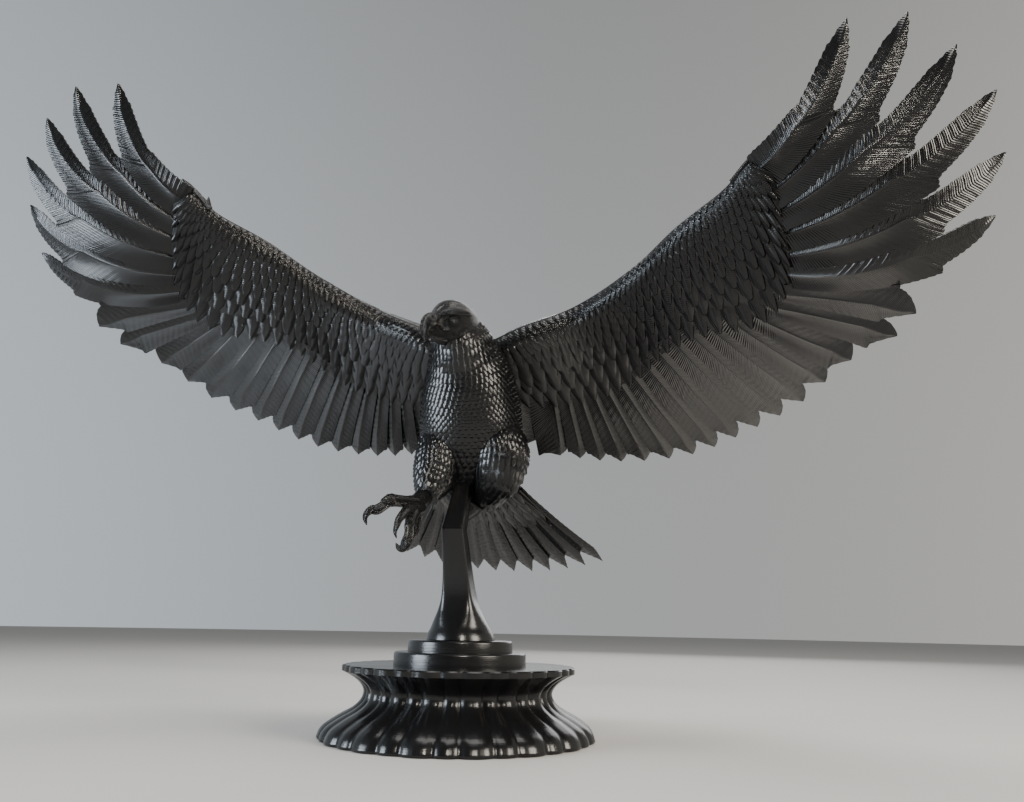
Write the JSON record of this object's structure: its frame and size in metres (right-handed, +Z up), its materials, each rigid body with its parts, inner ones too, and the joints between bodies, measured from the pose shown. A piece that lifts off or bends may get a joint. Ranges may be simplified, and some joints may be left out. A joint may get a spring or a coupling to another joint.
{
  "type": "eagle sculpture",
  "caption": "Eagle with raised, spread wings, turned head and one foot reaching out, held by a short post over a fluted round plinth.",
  "frame": {"origin": "centre of the plinth's underside, on the surface that it stands on", "axes": "+X to the bird's left wing, -Y the way its breast faces, +Z up"},
  "size_m": [0.6675, 0.2845, 0.4375],
  "materials": {
    "eagle": "glossy black, fine printed layers",
    "post": "glossy black, fine printed layers",
    "plinth": "glossy black, fine printed layers"
  },
  "bodies": {
    "root": {"eagle": "eagle", "post": "post", "plinth": "plinth"}
  },
  "joints": []
}
